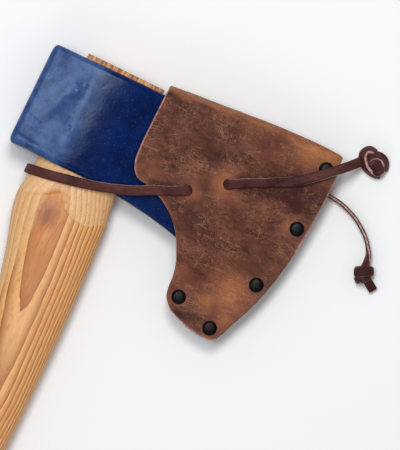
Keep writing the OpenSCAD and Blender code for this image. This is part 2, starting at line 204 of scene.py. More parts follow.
# The straps that show in the knots: turns, necks and cut ends
KNOT_RING = [
    (169.5, 62.6, 3.2, 0.1, -0.6, 0.8), (165.8, 63.2, 4.6, 0.4, -0.45, 0.8),
    (162.9, 61, 5.4, 0.6, -0.1, 0.8), (162.4, 57.6, 5.6, 0.62, 0.15, 0.78),
    (164.4, 54.2, 5.7, 0.45, 0.4, 0.8), (167.6, 51.2, 5.6, 0.3, 0.4, 0.87),
    (171.5, 49.6, 5.2, 0.1, 0.3, 0.95), (175.5, 49, 4.6, 0, 0.2, 0.98),
    (178.5, 50.2, 4, -0.2, 0.2, 0.96),
]
KNOT_OVER = [
    (166.4, 55.6, 4.6, 0.8, -0.45, 0.5), (167.6, 59.2, 5.8, 0.7, -0.6, 0.5),
    (170.8, 61.6, 6.4, 0.3, -0.8, 0.52), (174.4, 61.8, 6.4, 0, -0.8, 0.6),
    (177.4, 60.2, 5.8, -0.35, -0.6, 0.72), (179.1, 57.4, 4.8, -0.5, -0.25, 0.82),
    (179.4, 54.4, 3.9, -0.5, 0.1, 0.86),
]
KNOT_NECK = FRONT_TAIL[-2:] + [
    (162.2, 52.4, 11.2, -0.7, 0.7, 0), (162.7, 53, 7.8, -0.7, 0.7, 0),
    (163.4, 53.8, 4.8, -0.7, 0.7, 0), (165, 55.2, 2.8, -0.7, 0.7, 0),
]
KNOT_CORE = [(166, 56, 2, 0.1, 1, 0), (172.5, 57.3, 2.4, 0.1, 1, 0), (177.6, 55.6, 2.1, -0.1, 1, 0)]
KNOT_END = [
    (166, 56.6, 3.4, -0.3, 0.95, 0.1), (170, 56, 4.4, -0.25, 0.95, 0.1),
    (173.5, 54.6, 6.4, 0.2, 0.95, 0.1), (176.6, 53, 8.6, 0.4, 0.9, 0.1),
    (179.4, 51.6, 9.6, 0.45, 0.88, 0),
]
REAR_KNOT_END = [
    (198.5, -13.5, 4.6, 0.5, 0.86, 0.1), (201.5, -15, 4.8, 0.5, 0.86, 0.1),
    (204.5, -16.9, 4.2, 0.5, 0.86, 0.05), (207.3, -18.7, 3.4, 0.5, 0.86, 0),
]


# ---- curves and shapes ----


def through(rows, at):
    """Values at each of at on a smooth curve through rows whose first column rises."""
    rows = np.array(rows, float)
    keys, values = rows[:, 0], rows[:, 1:]
    slopes = np.gradient(values, keys, axis=0)
    i = np.clip(np.searchsorted(keys, at, side="right") - 1, 0, len(keys) - 2)
    width = (keys[i + 1] - keys[i])[:, None]
    t = np.clip((at - keys[i])[:, None] / width, 0, 1)
    return (
        (1 + 2 * t) * (1 - t) ** 2 * values[i] + t * (1 - t) ** 2 * width * slopes[i]
        + t * t * (3 - 2 * t) * values[i + 1] - t * t * (1 - t) * width * slopes[i + 1]
    )


def along(points, count):
    """count points spread evenly on a smooth curve through points; further columns are carried along."""
    points = np.array(points, float)
    size = 3 if points.shape[1] > 3 else points.shape[1]
    reach = np.r_[0, np.cumsum(np.linalg.norm(np.diff(points[:, :size], axis=0), axis=1))]
    fine = through(np.c_[reach, points], np.linspace(0, reach[-1], 12 * len(points)))
    reach = np.r_[0, np.cumsum(np.linalg.norm(np.diff(fine[:, :size], axis=0), axis=1))]
    at = np.linspace(0, reach[-1], count)
    return np.stack([np.interp(at, reach, column) for column in fine.T], axis=1)


def unit(v):
    return v / np.linalg.norm(v, axis=-1, keepdims=True)


def signed_power(v, e):
    return np.sign(v) * np.abs(v) ** e


def smooth(t):
    t = np.clip(t, 0, 1)
    return t * t * (3 - 2 * t)


def edge_at(y):
    """Where the cutting edge is at height y."""
    return EDGE_C[0] + np.sqrt(np.maximum(1, EDGE_R ** 2 - (y - EDGE_C[1]) ** 2))


def sheath_half(x, y):
    """Half thickness over the sheath, which closes onto the welt beyond the edge and below the heel."""
    keys, values = zip(*SHEATH_HALF)
    half = np.interp(x + EDGE_X - edge_at(y), keys, values)
    pinch = smooth((-50 - y) / 25)
    return half + (CLOSED_HALF - half) * pinch


def rough(points, size, seed):
    """Smooth noise from -1 to 1 at each point, with bumps about size apart."""
    return np.array([noise.noise(Vector(p) / size + Vector((seed, seed * 1.7, -seed))) for p in points])


def placed(name, data):
    """A new object in the scene for a mesh, a lamp or a camera."""
    made = bpy.data.objects.new(name, data)
    bpy.context.collection.objects.link(made)
    return made


def from_editable(name, mesh):
    """A new object from an editable mesh, which is freed."""
    made = bpy.data.meshes.new(name)
    mesh.to_mesh(made)
    mesh.free()
    return placed(name, made)


def new_object(name, points, faces, finishes, indices=None):
    """A smooth mesh object from points in millimetres."""
    mesh = bpy.data.meshes.new(name)
    mesh.from_pydata([tuple(p) for p in np.asarray(points) * MM], [], [tuple(f) for f in faces])
    for material in finishes:
        mesh.materials.append(material)
    if indices is not None:
        mesh.polygons.foreach_set("material_index", indices)
    mesh.shade_smooth()
    mesh.update()
    return placed(name, mesh)


def ring_faces(rings, size, closed_ends=True):
    """Faces between rings of size points each, with a fan-free cap at both ends."""
    faces = []
    for i in range(rings - 1):
        a, b = i * size, (i + 1) * size
        for k in range(size):
            n = (k + 1) % size
            faces.append((a + k, a + n, b + n, b + k))
    if closed_ends:
        faces.append(tuple(range(size))[::-1])
        faces.append(tuple((rings - 1) * size + k for k in range(size)))
    return faces


def cut(target, tool):
    """Cuts tool out of target for good and deletes tool."""
    modifier = target.modifiers.new("cut", "BOOLEAN")
    modifier.operation = "DIFFERENCE"
    modifier.solver = "EXACT"
    modifier.object = tool
    result = bpy.data.meshes.new_from_object(target.evaluated_get(bpy.context.evaluated_depsgraph_get()))
    target.modifiers.clear()
    target.data = result
    bpy.data.objects.remove(tool)


def refinish(node, material):
    """Gives a solid of the frame, which keeps its shape, its finished material."""
    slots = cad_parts[node].data.materials
    slots.clear()
    slots.append(material)


def settle(piece, body, slot, *nodes):
    """The piece rides on a body and stands for its nodes; slot is not used."""
    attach(piece, body)
    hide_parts(*nodes)


# ---- node helpers ----


def make(tree, kind, inputs=(), **settings):
    """Adds a node with its settings and inputs; an input is a value or another node's socket."""
    node = tree.nodes.new(kind)
    for name, value in settings.items():
        setattr(node, name, value)
    for name, value in dict(inputs).items():
        if isinstance(value, bpy.types.NodeSocket):
            tree.links.new(value, node.inputs[name])
        else:
            node.inputs[name].default_value = value
    return node


def maths(tree, operation, a, b=0.0, c=0.0, clamp=False):
    return make(tree, "ShaderNodeMath", {0: a, 1: b, 2: c}, operation=operation, use_clamp=clamp).outputs[0]


def linear(screen):
    """One channel of a colour, from how it looks on a screen, 0 to 255, to linear light."""
    c = screen / 255
    return c / 12.92 if c <= 0.04045 else ((c + 0.055) / 1.055) ** 2.4


def rgb(r, g, b):
    return (linear(r), linear(g), linear(b), 1.0)


class Finish:
    """A material in the making, whose patterns sit on the piece's own coordinates."""

    def __init__(self, name):
        self.material = bpy.data.materials.new(name)
        self.material.use_nodes = True
        self.tree = self.material.node_tree
        self.shader = self.tree.nodes["Principled BSDF"]
        self.place = self.node("ShaderNodeTexCoord").outputs["Object"]

    def node(self, kind, inputs=(), **settings):
        return make(self.tree, kind, inputs, **settings)

    def maths(self, operation, *values, clamp=False):
        return maths(self.tree, operation, *values, clamp=clamp)

    def times(self, a, b):
        return self.maths("MULTIPLY", a, b)

    def times_plus(self, a, factor, more):
        return self.maths("MULTIPLY_ADD", a, factor, more)

    def minus(self, a, b):
        return self.maths("SUBTRACT", a, b)

    def noise(self, scale, detail=4, roughness=0.55, distortion=0.0, turn=0.0):
        """Noise at a scale, which may be one number or one for each axis, turned about z."""
        vector = self.place
        if isinstance(scale, tuple):
            mapping = {"Vector": vector, "Scale": scale, "Rotation": (0, 0, turn)}
            vector, scale = self.node("ShaderNodeMapping", mapping).outputs[0], 1.0
        return self.node("ShaderNodeTexNoise", {
            "Vector": vector, "Scale": scale, "Detail": detail,
            "Roughness": roughness, "Distortion": distortion,
        }).outputs["Fac"]

    def cells(self, scale, feature="F1"):
        """Distance in a pattern of cells."""
        inputs = {"Vector": self.place, "Scale": scale}
        return self.node("ShaderNodeTexVoronoi", inputs, feature=feature).outputs["Distance"]

    def stored(self, name):
        """A value that the piece keeps at each point."""
        return self.node("ShaderNodeAttribute", attribute_name=name).outputs["Fac"]

    def spread(self, value, low, high, to_low=0.0, to_high=1.0):
        """value from low..high carried smoothly to to_low..to_high."""
        return self.node("ShaderNodeMapRange", {
            "Value": value, "From Min": low, "From Max": high, "To Min": to_low, "To Max": to_high,
        }, interpolation_type="SMOOTHSTEP").outputs["Result"]

    def blend(self, factor, a, b):
        """Colour a where factor is 0 and b where it is 1."""
        return self.node("ShaderNodeMix", {0: factor, 6: a, 7: b}, data_type="RGBA").outputs[2]

    def ramp(self, value, stops):
        """A colour ramp with stops of (position, colour)."""
        node = self.node("ShaderNodeValToRGB", {"Fac": value})
        elements = node.color_ramp.elements
        while len(elements) < len(stops):
            elements.new(0.5)
        for element, (position, colour) in zip(elements, stops):
            element.position = position
            element.color = colour
        return node.outputs["Color"]

    def distance_from(self, point, scale=(1, 1, 1)):
        """Distance in metres from a point given in millimetres, stretched by scale."""
        kind = "ShaderNodeVectorMath"
        start = tuple(np.array(point) * MM)
        moved = self.node(kind, {0: self.place, 1: start}, operation="SUBTRACT").outputs[0]
        scaled = self.node(kind, {0: moved, 1: scale}, operation="MULTIPLY").outputs[0]
        return self.node(kind, {0: scaled}, operation="LENGTH").outputs["Value"]

    def put(self, **values):
        """Sets the shader's sockets, named with underscores for spaces, to a value or another socket."""
        for name, value in values.items():
            socket = self.shader.inputs[name.replace("_", " ")]
            if isinstance(value, bpy.types.NodeSocket):
                self.tree.links.new(value, socket)
            else:
                socket.default_value = value

    def bump(self, height, distance, strength):
        inputs = {"Height": height, "Distance": distance, "Strength": strength}
        self.put(Normal=self.node("ShaderNodeBump", inputs).outputs["Normal"])


# ---- materials ----


def head_material(look):
    """Dark blue lacquer over forged steel, paled over the poll by a painted reflection, and ground bare
    along the bit.
    """
    lacquer = Finish("head lacquer")
    to_edge = lacquer.minus(EDGE_R * MM, lacquer.distance_from((*EDGE_C, 0), (1, 1, 0)))
    ragged = lacquer.times_plus(lacquer.noise(260, 3), 0.006, to_edge)
    bare = lacquer.spread(ragged, 0.0275, 0.0262)
    mottled = lacquer.noise(70, 5, 0.6)
    blue = lacquer.blend(lacquer.spread(mottled, 0.3, 0.7), (*look.paint_dark, 1), (*look.paint_light, 1))
    # Painted reflection: over the poll the lacquer is mixed in patches toward a paler slate blue.
    along_x = lacquer.node("ShaderNodeSeparateXYZ", {0: lacquer.place}).outputs[0]
    patchy = lacquer.spread(lacquer.noise(150, 6, 0.65), 0.36, 0.62, 0.45, 0.9)
    painted_poll_reflection = lacquer.times(lacquer.spread(along_x, -0.005, -0.017), patchy)
    blue = lacquer.blend(painted_poll_reflection, blue, rgb(58, 84, 132))
    speck = lacquer.spread(lacquer.noise(1200, 2, 0.5), 0.64, 0.74, 0, 0.45)
    blue = lacquer.blend(speck, blue, rgb(84, 106, 152))
    brushed = lacquer.spread(lacquer.noise((180, 2700, 180)), 0.3, 0.7)
    steel = lacquer.blend(brushed, rgb(88, 90, 93), rgb(132, 134, 138))
    paint_gloss = lacquer.spread(mottled, 0.25, 0.75, 0.2, 0.27)
    lacquer.put(
        Base_Color=lacquer.blend(bare, blue, steel), Metallic=bare,
        Roughness=lacquer.times_plus(bare, 0.16, paint_gloss),
        Specular_IOR_Level=0.12, Specular_Tint=(0.74, 0.88, 1, 1),
    )
    hammered = lacquer.times_plus(lacquer.noise(190, 4, 0.65), 1.2, lacquer.noise(520, 3, 0.6))
    hammered = lacquer.times_plus(lacquer.spread(lacquer.cells(95), 0.0, 0.16), 0.35, hammered)
    calm = lacquer.times_plus(bare, -0.85, 1.0)
    lacquer.bump(lacquer.times(hammered, calm), 0.00007, 0.8)
    return lacquer.material


def wood_material(look):
    """Oiled ash: arched rings on the flats, close lines at the front edge, fine open pores."""
    ash = Finish("oiled ash")
    shaved = ash.stored("shaved")
    x, y, z = ash.node("ShaderNodeSeparateXYZ", {0: ash.place}).outputs
    down = ash.minus(-0.066, y)
    wander = ash.minus(ash.noise((45, 9, 45), 3, 0.5), 0.5)
    jitter = ash.minus(ash.noise((700, 90, 700), 2, 0.5), 0.5)
    pith_x = ash.times_plus(ash.maths("MINIMUM", down, 0.12), 0.11, -0.001)
    pith_z = ash.times_plus(down, 0.076, (MID_Z + 18.5) * MM)
    across = ash.minus(x, pith_x)
    across = ash.maths("MAXIMUM", across, ash.times(across, 0.74))
    deep = ash.times_plus(shaved, 0.5 * MM, ash.minus(pith_z, z))
    radius = ash.maths("SQRT", ash.maths("ADD", ash.times(across, across), ash.times(deep, deep)))
    radius = ash.times_plus(wander, 0.005, radius)
    radius = ash.times_plus(jitter, 0.0005, radius)
    turns = ash.maths("MAXIMUM", ash.maths("DIVIDE", radius, look.first_ring), 0.0)
    phase = ash.maths("FRACT", ash.maths("POWER", turns, 1.7))
    tones = ((0.0, 1), (0.14, 0.92), (0.5, 0.62), (0.9, 0.12), (0.97, 0.0), (1.0, 0.95))
    rings = ash.ramp(phase, [(at, (value, value, value, 1)) for at, value in tones])
    pores = ash.noise((2300, 170, 2300), 2, 0.6)
    streaks = ash.noise((330, 12, 330), 4, 0.6)
    figure = ash.spread(ash.noise((190, 16, 190), 5, 0.65), 0.36, 0.6, 0.4, 1.0)
    blotch = ash.distance_from((-4.5, -67, 34), (1.1, 0.78, 1))
    blotch = ash.times_plus(ash.noise((260, 90, 260), 4, 0.7), 0.012, blotch)
    knot = ash.times(ash.spread(blotch, 0.0165, 0.0075, 0.0, 0.9), ash.spread(streaks, 0.3, 0.6, 0.55, 1.0))
    tone = ash.blend(rings, (*look.wood_dark, 1), (*look.wood_light, 1))
    for amount, colour in (
        (ash.spread(streaks, 0.38, 0.72, 0.0, 0.45), rgb(192, 128, 72)),
        (ash.spread(x, -0.008, -0.012, 0.0, 0.5), rgb(226, 184, 134)),
        (ash.times(ash.spread(radius, 0.0105, 0.006, 0.0, 0.9), figure), rgb(180, 104, 38)),
        (ash.spread(shaved, 0.0, 0.8, 0.0, 0.4), rgb(226, 188, 142)),
        (ash.spread(pores, 0.54, 0.7, 0.0, 0.5), rgb(140, 84, 46)),
        (knot, rgb(132, 68, 34)),
    ):
        tone = ash.blend(amount, tone, colour)
    stripes = ash.spread(ash.noise((420, 30, 60), 3, 0.6), 0.4, 0.6)
    ends = ash.blend(stripes, rgb(150, 88, 56), rgb(214, 168, 124))
    ash.put(
        Base_Color=ash.blend(ash.stored("end"), tone, ends),
        Roughness=ash.spread(pores, 0.4, 0.75, 0.42, 0.6),
        Coat_Weight=0.08, Coat_Roughness=0.3, Specular_IOR_Level=0.3,
    )
    ash.bump(ash.times_plus(pores, -0.7, ash.times(rings, 0.5)), 0.00012, 0.8)
    return ash.material


# The leather's scratches: turn in radians, scale, and how much closer they lie across their length
SCRATCHES = ((0.5, 34, 2.6), (-0.7, 60, 2.0), (1.7, 110, 2.4), (2.6, 190, 1.6), (1.1, 150, 3.4))


def leather_material(name, tones, scratch, grain=650, scuffed=0.45):
    """Waxed pull-up leather, lighter where the stored value says that it was bent or rubbed, and darker
    where that value holds painted shade.
    """
    hide = Finish(name)
    cloud = hide.spread(hide.noise((30, 62, 40), 7, 0.66, 0.7, -0.5), 0.28, 0.72)
    fleck = hide.noise((170, 330, 250), 8, 0.76, 0.5, -0.6)
    dust = hide.noise(900, 4, 0.7)
    value = hide.times_plus(cloud, 0.26, hide.times_plus(fleck, 0.34, -0.25))
    value = hide.times_plus(dust, 0.26, value)
    value = hide.maths("ADD", value, hide.times(hide.stored("wear_and_shade"), 0.72), clamp=True)
    tone = hide.ramp(value, list(zip((0.05, 0.32, 0.62, 0.95), tones)))
    scuffs = 0.0
    for turn, size, stretch in SCRATCHES:
        lines = hide.noise((size, size * stretch, size), 4, 0.55, 0.9, turn)
        thin = hide.spread(hide.maths("ABSOLUTE", hide.minus(lines, 0.5)), 0.01, 0.0)
        scuffs = hide.maths("MAXIMUM", scuffs, thin)
    patchy = hide.spread(hide.noise(70, 4, 0.6), 0.36, 0.58)
    scuffs = hide.times(scuffs, hide.times(patchy, scuffed))
    hide.put(
        Base_Color=hide.blend(scuffs, tone, scratch), Roughness=hide.spread(fleck, 0.3, 0.7, 0.43, 0.6),
        Specular_IOR_Level=0.12,
    )
    pebbles = hide.spread(hide.cells(grain, "DISTANCE_TO_EDGE"), 0.0, 0.25)
    relief = hide.times_plus(pebbles, 0.35, hide.times_plus(fleck, 1.6, cloud))
    hide.bump(relief, 0.00022, 0.75)
    return hide.material


def raw_edge_material(name, tone, shade):
    """The cut edge or flesh side of leather: pale, fibrous and matte."""
    edge = Finish(name)
    fibres = edge.noise((420, 420, 1300), 5, 0.7)
    mixed = edge.blend(edge.spread(fibres, 0.35, 0.7), shade, tone)
    mixed = edge.blend(edge.spread(edge.noise(130, 4, 0.6), 0.55, 0.75, 0.0, 0.5), mixed, shade)
    edge.put(Base_Color=mixed, Roughness=0.85)
    edge.bump(fibres, 0.00025, 0.9)
    return edge.material


def rivet_material():
    """Blackened steel with a soft satin oxide."""
    oxide = Finish("blackened rivet")
    bloom = oxide.noise(420, 4, 0.6)
    oxide.put(
        Base_Color=oxide.blend(oxide.spread(bloom, 0.35, 0.7), rgb(1.5, 1.5, 2), rgb(8, 8, 10)),
        Roughness=oxide.spread(bloom, 0.3, 0.7, 0.3, 0.44), Specular_IOR_Level=0.1,
    )
    oxide.bump(oxide.noise(1400, 3), 0.00005, 0.6)
    return oxide.material


def steel_material():
    """Drawn steel of the cross wedge."""
    steel = Finish("wedge steel")
    grain = steel.noise((1200, 60, 60))
    steel.put(
        Base_Color=steel.blend(steel.spread(grain, 0.3, 0.7), rgb(110, 110, 112), rgb(165, 165, 168)),
        Roughness=steel.spread(grain, 0.3, 0.7, 0.3, 0.5), Metallic=1.0,
    )
    return steel.material


def floor_material():
    floor = Finish("pale floor")
    floor.put(Base_Color=(0.83, 0.83, 0.835, 1), Roughness=0.7)
    return floor.material


MATERIALS = {}


def materials(look):
    """Makes the materials once and returns them by name."""
    if not MATERIALS:
        hide_tones = (rgb(56, 24, 18), rgb(106, 60, 46), rgb(140, 84, 52), (*look.leather_tan, 1))
        lace_tones = (rgb(52, 23, 22), rgb(80, 43, 40), rgb(96, 55, 49), rgb(120, 76, 66))
        MATERIALS.update(
            head=head_material(look),
            wood=wood_material(look),
            leather=leather_material("sheath leather", hide_tones, rgb(176, 124, 92)),
            edge=raw_edge_material("raw leather edge", rgb(196, 150, 132), rgb(132, 84, 68)),
            flesh=raw_edge_material("leather flesh side", rgb(158, 112, 88), rgb(112, 72, 55)),
            lace_edge=raw_edge_material("raw lace edge", rgb(208, 174, 166), rgb(136, 102, 96)),
            lace=leather_material("lace leather", lace_tones, rgb(120, 80, 70), 900, 0.3),
            rivet=rivet_material(),
            steel=steel_material(),
        )
    return MATERIALS


# ---- the head ----

# Dents in the front cheek: x, y, radius, depth; then long ones: line, width, depth
FRONT_PITS = [
    (-22, 14, 1.3, 0.5), (-24.5, 17, 1.1, 0.35), (-19, 19, 1.1, 0.35), (-17, -10, 1.1, 0.35),
    (-8, 24, 0.9, 0.14), (4, -22, 1.0, 0.14), (-38, -2, 1.1, 0.12), (-41, 20, 0.9, 0.1),
    (12, 22, 1.0, 0.12), (6, -1, 1.2, 0.12),
]
FRONT_CREASES = [
    ([(-34, -6), (-31, -2), (-29, 6), (-26, 14)], 5.0, 0.55),
    ([(-49, -12), (-44, -14), (-36, -16)], 0.9, 0.16),
    ([(-47, -28), (-40, -29.5), (-30, -30)], 0.9, 0.16),
]
POLL_R = 3.6
CORNER_R = 3.6
WAVE_DEPTH = 0.55
DENT_ROOM = 0.5


def line_distance(x, y, line):
    """Distance of each x, y from a broken line."""
    best = np.full(np.shape(x), 1e9)
    for (ax, ay), (bx, by) in zip(line, line[1:]):
        dx, dy = bx - ax, by - ay
        t = np.clip(((x - ax) * dx + (y - ay) * dy) / max(dx * dx + dy * dy, 1e-9), 0, 1)
        best = np.minimum(best, np.hypot(x - ax - t * dx, y - ay - t * dy))
    return best


def head_section(top, bottom, half, across=84, corner=5):
    """Half a section of the head, from its top edge over the front cheek to its bottom edge."""
    r = min(CORNER_R, 0.62 * half)
    middle, reach = (top + bottom) / 2, (top - bottom) / 2
    turn = np.linspace(0, math.pi / 2, corner + 2)[1:-1]
    y = np.linspace(top - r, bottom + r, across)
    crown = 1 - 0.05 * np.abs((y - middle) / reach) ** 3
    end = half * crown[0]
    flats = np.linspace(0.04, 1, 4) * (end - r)
    upper = [(top, z) for z in flats]
    upper += [(top - r + r * math.cos(a), end - r + r * math.sin(a)) for a in turn]
    lower = [(bottom + top - py, z) for py, z in upper][::-1]
    return np.array(upper + list(zip(y, half * crown)) + lower)


def head_mesh(material):
    """Forged head: square poll, crowned cheeks, a bit that bends to its arc and ends in a ground bevel."""
    stations = np.r_[
        np.linspace(POLL_X, -30, 26), np.linspace(-29.3, 76, 144),
        np.linspace(76.8, EDGE_X - 6, 66), np.linspace(EDGE_X - 5.4, EDGE_X, 10),
    ]
    rows = through(HEAD_ROWS, stations)
    rings = []
    for station, (top, bottom, half) in zip(stations, rows):
        inset = POLL_R - math.sqrt(max(0, POLL_R ** 2 - max(0, POLL_X + POLL_R - station) ** 2))
        section = head_section(top - inset, bottom + inset, half - inset)
        bend = max(0, (station - BEND_FROM) / (EDGE_X - BEND_FROM)) ** 1.4
        y = section[:, 0]
        x = station + bend * (edge_at(y) - EDGE_X)
        limit = 0.1 + np.maximum(0, EDGE_R - np.hypot(x - EDGE_C[0], y - EDGE_C[1])) * BEVEL
        z = section[:, 1]
        if station > BEND_FROM:
            z = z * np.minimum(1, limit / max(z.max(), 1e-6))
        front = np.c_[x, y, z]
        back = front[::-1] * (1, 1, -1)
        rings.append(np.r_[front, back])
    face = [rings[0] * (1, k, k) for k in (0.2, 0.45, 0.7, 0.88)]
    rings = face + rings
    size = len(rings[0])
    points = np.concatenate(rings)
    x, y, z = points.T
    front = smooth(z / 6)
    sunk = np.zeros(len(points))
    for px, py, r, depth in FRONT_PITS:
        sunk += depth * np.exp(-((x - px) ** 2 + (y - py) ** 2) / r ** 2)
    for line, width, depth in FRONT_CREASES:
        sunk += depth * np.exp(-(line_distance(x, y, line) / width) ** 2)
    ridge = 0.3 * np.exp(-((x + 16.5) / 5) ** 2) * smooth((y + 32) / 14) * smooth((32 - y) / 14)
    calm = smooth((EDGE_R - np.hypot(x - EDGE_C[0], y - EDGE_C[1]) - 22) / 20)
    waves = rough(points, 24, 3.1) * 0.5 + rough(points, 9, 7.7) * 0.18
    swell = (waves * WAVE_DEPTH - DENT_ROOM) * calm
    points[:, 2] += np.sign(z) * smooth(np.abs(z) / 4) * swell + front * (ridge - sunk)
    points[:, 2] = np.clip(points[:, 2], -CHEEK_HALF, CHEEK_HALF)
    points[:, 1] += rough(points, 16, 11.3) * 0.35 * calm * smooth((np.abs(y) - 25) / 8)
    points[:, 2] += MID_Z
    faces = ring_faces(len(rings), size, closed_ends=False)
    last = (len(rings) - 1) * size
    for k in range(size // 2 - 1):
        m = size - 1 - k
        faces.append((k, m, m - 1, k + 1))
        faces.append((last + k, last + k + 1, last + m - 1, last + m))
    faces = [f[::-1] for f in faces]
    return new_object("forged_head", points, faces, [material])


def eye_tool():
    """The through hole that the tenon fills."""
    angle = np.linspace(0, 2 * math.pi, 96, endpoint=False)
    oval = np.c_[
        EYE_CX + EYE_HALF[0] * signed_power(np.cos(angle), EYE_POWER),
        MID_Z + EYE_HALF[1] * signed_power(np.sin(angle), EYE_POWER),
    ]
    points = [(x, y, z) for y in (-60, 60) for x, z in oval]
    return new_object("eye", points, ring_faces(2, len(oval)), [])


# ---- the handle ----

# Where the shaved flats under the eye end: x, y
SHAVED_LINE = [
    (-34, -57), (-28, -58), (-22, -60.5), (-12, -55.5), (-4, -49.5), (0, -53), (6, -60.5), (12, -63.5),
    (20, -64), (27, -60), (33, -58), (38, -57),
]


def handle_mesh(material):
    """Swept oval handle with its shoulder, shaved down to the eye, and a hooked knob."""
    heights = np.r_[
        np.linspace(HANDLE_ROWS[0][0], -755, 18), np.linspace(-752.5, -110, 238),
        np.linspace(-109, TENON_FROM - 1, 100), np.linspace(TENON_FROM, TENON_TOP, 12),
    ]
    rows = through(HANDLE_ROWS, heights)
    count = 120
    angle = np.linspace(0, 2 * math.pi, count, endpoint=False)
    rings = []
    for y, (back, front, half) in zip(heights, rows):
        blend = smooth((-45 - y) / 40)
        power = EYE_POWER + 0.12 * blend
        if y > TENON_FROM:
            reach, half = EYE_HALF[0] - TENON_GAP, EYE_HALF[1] - TENON_GAP
            back, front = EYE_CX - reach, EYE_CX + reach
        x = (back + front) / 2 + (front - back) / 2 * signed_power(np.cos(angle), power)
        z = half * signed_power(np.sin(angle), power)
        rings.append(np.c_[x, np.full(count, y), z])
    points = np.concatenate(rings)
    x, y, z = points.T
    line = np.array(SHAVED_LINE)
    bound = np.interp(x, line[:, 0], line[:, 1]) + rough(points, 3, 2.9) * 0.5
    above = smooth((y - bound) / 1.0)
    shaved = above * smooth(np.abs(z) / 5) * smooth((-36 - y) / 8)
    lean = smooth(np.abs(z) / 6) * smooth((-44 - y) / 8)
    points[:, 2] -= np.sign(z) * 0.8 * shaved
    points[:, 2] += np.sign(z) * rough(points * (1, 0.3, 1), 22, 5.5) * 0.25 * lean
    points[:, 2] += MID_Z
    faces = [f[::-1] for f in ring_faces(len(rings), count)]
    made = new_object("ash_handle", points, faces, [material])
    store(made, np.clip(y - bound, 0, 25) * (y < -30), "shaved")
    store(made, (y > TENON_TOP - 0.5).astype(float), "end")
    return made


# ---- the sheath ----

PANEL_COLUMNS = 104
PANEL_ROWS = 118
FOLD_STEPS = 14
FOLD_R = 5.0
HOLE_PLACES = (HOLE_A, HOLE_B + (0.7, 0.4))
# Places rubbed tan: x, y, radius, amount; and dark bands across the front: line, width, amount. The two
# bands beside the laces are painted shade of the laces.
TAN_SPOTS = [
    (91.5, 1.5, 9, 0.75), (75, -13, 5, 0.35), (138, -7, 5.5, 0.4), (124, -60, 13, 0.75),
    (132, -56, 8, 0.4), (113, -72, 7, 0.45), (122, -92, 5, 0.3), (94, -80, 5, 0.4),
    (129, -78, 6, 0.45), (145, 47, 12, 0.7), (133, 46, 10, 0.7), (90, -60, 6, 0.3), (42, -10, 7, 0.3),
]
DARK_AND_SHADE_BANDS = [
    ([(98, -90), (112, -86)], 7, 0.3), ([(118, 13), (153, 16)], 6.5, 0.5),
    ([(98, 3), (130, 19)], 5.5, 0.35), ([(62, -16), (36, -27)], 4, 0.3),
]


def panel_grid():
    """The front panel's points in x and y, rows from the fold down, between its four outlines."""
    u = np.linspace(0, 1, PANEL_COLUMNS)[None, :, None]
    v = np.linspace(0, 1, PANEL_ROWS)[:, None, None]
    top, bottom = along(FOLD_LINE, PANEL_COLUMNS), along(BOTTOM_EDGE, PANEL_COLUMNS)
    left, right = along(LEFT_EDGE, PANEL_ROWS), along(RIGHT_EDGE, PANEL_ROWS)
    top[-1], bottom[-1] = right[0], right[-1]
    corners = (
        (1 - u) * (1 - v) * top[0] + u * (1 - v) * top[-1] + (1 - u) * v * bottom[0] + u * v * bottom[-1]
    )
    return (1 - v) * top[None] + v * bottom[None] + (1 - u) * left[:, None] + u * right[:, None] - corners


def folded_sheet():
    """Points of the sheath's outer face: up the front panel, over the fold and down the back."""
    grid = panel_grid()
    x, y = grid[..., 0], grid[..., 1]
    half = sheath_half(x, y)
    top_half = half[0]
    r = np.minimum(FOLD_R, top_half - 0.2)
    reach = np.linalg.norm(np.diff(grid, axis=0), axis=2)
    depth = np.r_[np.zeros((1, PANEL_COLUMNS)), np.cumsum(reach, axis=0)]
    tuck = r[None, :] * (1 - smooth(depth / (r[None, :] * 5)))
    y_front = y - tuck
    front_rows = np.stack([x, y_front, half], axis=2)[::-1]
    back_rows = np.stack([x, y_front, -half], axis=2)
    turns = []
    for step in range(1, FOLD_STEPS):
        t = step / FOLD_STEPS
        a = math.pi * t
        z = (top_half - r) * (1 - 2 * t) + r * math.cos(a)
        turns.append(np.stack([x[0], y[0] - r + r * math.sin(a), z], axis=1))
    return np.concatenate([front_rows, np.array(turns), back_rows])


def held_flat(x, y):
    """How far the leather is held down at x and y by a rivet or a laced hole, from 0 to 1."""
    held = np.zeros(x.shape)
    for places, reach in ((RIVETS, 6), (HOLE_PLACES, 7)):
        for place in places:
            away = (x - place[0]) ** 2 + (y - place[1]) ** 2
            held = np.maximum(held, np.exp(-away / reach ** 2))
    return held


